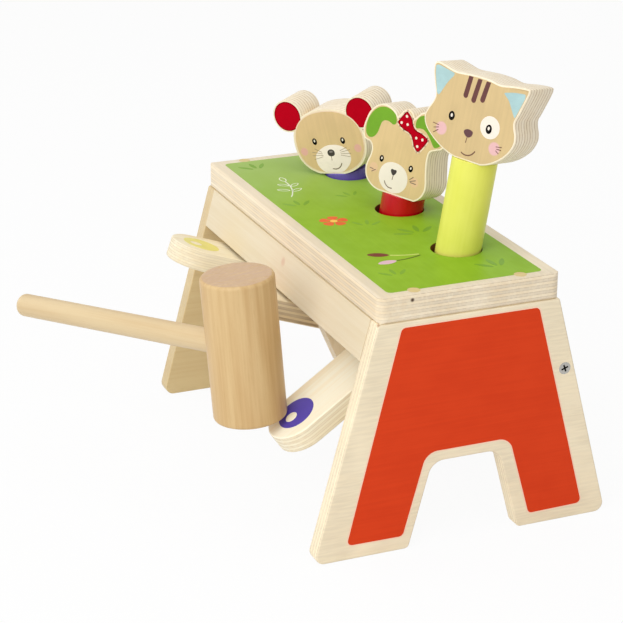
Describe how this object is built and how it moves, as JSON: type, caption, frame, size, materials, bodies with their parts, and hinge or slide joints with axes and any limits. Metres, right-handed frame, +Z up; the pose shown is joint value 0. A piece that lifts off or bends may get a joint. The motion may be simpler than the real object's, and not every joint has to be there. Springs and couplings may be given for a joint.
{
  "type": "peg pounding bench",
  "caption": "Wooden pounding bench: hinged levers under a printed board throw up animal pegs when struck, and a mallet stands on the near lever.",
  "frame": {"origin": "on the floor, under the middle of the top board", "axes": "+X along the bench toward the end panel that the picture shows, -Y toward the side where the levers stick out, +Z up"},
  "size_m": [0.255, 0.2791, 0.2474],
  "materials": {
    "ply": "sanded birch plywood under clear lacquer",
    "top": "birch plywood with a printed green top",
    "panel": "birch plywood, the near panel with an orange-red printed face",
    "dowel": "beech dowel",
    "steel": "zinc-plated steel",
    "lever": "birch plywood with a printed dot",
    "paint_yellow": "glossy yellow paint on wood",
    "paint_red": "glossy red paint on wood",
    "paint_purple": "glossy purple paint on wood",
    "head": "plywood with a printed face",
    "mallet": "turned hardwood under clear lacquer"
  },
  "bodies": {
    "bench": {"top_board": "top", "end_panel_near": "panel", "end_panel_far": "panel", "front_apron": "ply", "back_rail": "ply", "board_dowels": "dowel", "rail_screws": "steel", "axle_rod": "steel", "hanger_near": "ply", "hanger_far": "ply", "axle_sleeves": "dowel"},
    "near_lever": {"lever_near": "lever"},
    "middle_lever": {"lever_middle": "lever"},
    "far_lever": {"lever_far": "lever"},
    "cat": {"cat_peg": "paint_yellow", "cat_head": "head", "cat_pin": "dowel"},
    "dog": {"dog_peg": "paint_red", "dog_head": "head", "dog_pin": "dowel"},
    "mouse": {"mouse_peg": "paint_purple", "mouse_head": "head", "mouse_pin": "dowel"},
    "mallet": {"mallet_head": "mallet", "mallet_handle": "mallet"}
  },
  "joints": [
    {"name": "near_lever_hinge", "type": "hinge", "parent": "bench", "child": "near_lever", "pos_m": [0.0735, -0.0285, 0.0905], "axis": [-1, 0, 0], "range_deg": [0, 53.8]},
    {"name": "middle_lever_hinge", "type": "hinge", "parent": "bench", "child": "middle_lever", "pos_m": [0, -0.0285, 0.0905], "axis": [1, 0, 0], "range_deg": [0, 53.8]},
    {"name": "far_lever_hinge", "type": "hinge", "parent": "bench", "child": "far_lever", "pos_m": [-0.0735, -0.0285, 0.0905], "axis": [1, 0, 0], "range_deg": [0, 53.8]},
    {"name": "cat_slide", "type": "slide", "parent": "bench", "child": "cat", "axis": [0, 0.165, 0.9863], "range_m": [-0.039, 0]},
    {"name": "dog_slide", "type": "slide", "parent": "bench", "child": "dog", "axis": [0, 0.165, 0.9863], "range_m": [0, 0.042]},
    {"name": "mouse_slide", "type": "slide", "parent": "bench", "child": "mouse", "axis": [-0.08, -0.1444, 0.9863], "range_m": [0, 0.0453]},
    {"name": "mallet_ride", "type": "slide", "parent": "bench", "child": "mallet", "axis": [0, 0, 1], "range_m": [0, 0.062]}
  ],
  "couplings": [
    {"joint": "cat_slide", "follows": "near_lever_hinge", "m_per_rad": -0.0415},
    {"joint": "dog_slide", "follows": "middle_lever_hinge", "m_per_rad": 0.04465},
    {"joint": "mouse_slide", "follows": "far_lever_hinge", "m_per_rad": 0.0482},
    {"joint": "mallet_ride", "follows": "near_lever_hinge", "m_per_rad": 0.066}
  ]
}
